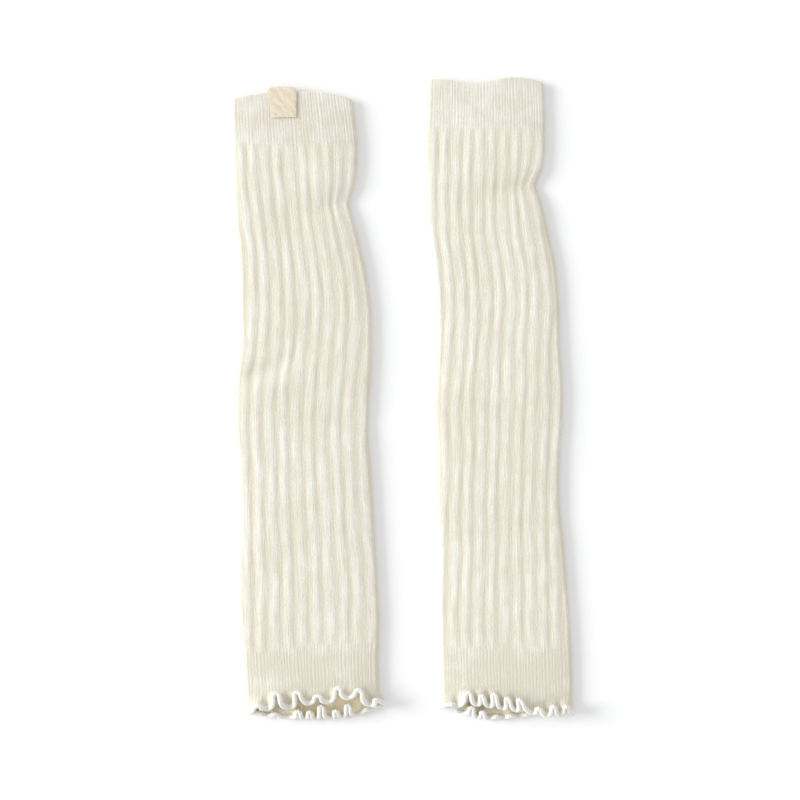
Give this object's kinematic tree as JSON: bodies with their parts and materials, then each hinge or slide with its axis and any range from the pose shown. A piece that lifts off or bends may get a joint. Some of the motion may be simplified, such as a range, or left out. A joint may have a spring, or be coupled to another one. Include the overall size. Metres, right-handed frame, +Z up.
{
  "type": "pair of leg warmers",
  "caption": "Pair of ribbed knit leg warmers laid flat side by side, with fine ribbed cuffs, a wavy ruffled hem on each and a small blank label folded over one top edge.",
  "frame": {"origin": "middle of the box round the pair, on the surface that it lies on", "axes": "+X across the pair towards the leg warmer with no label, +Y up the legs towards the top cuffs, +Z up from the surface"},
  "size_m": [0.2459, 0.4619, 0.016],
  "materials": {
    "rib_knit": "soft matte knit, natural cream",
    "cuff_knit": "soft matte fine rib, natural cream",
    "ruffle_knit": "overlocked edge, off-white",
    "label_weave": "plain woven tape, pale peach"
  },
  "bodies": {
    "root": {"left_top_cuff": "cuff_knit", "left_ribbed_leg": "rib_knit", "left_ankle_cuff": "cuff_knit", "left_ruffle": "ruffle_knit", "left_label": "label_weave", "right_top_cuff": "cuff_knit", "right_ribbed_leg": "rib_knit", "right_ankle_cuff": "cuff_knit", "right_ruffle": "ruffle_knit"}
  },
  "joints": []
}
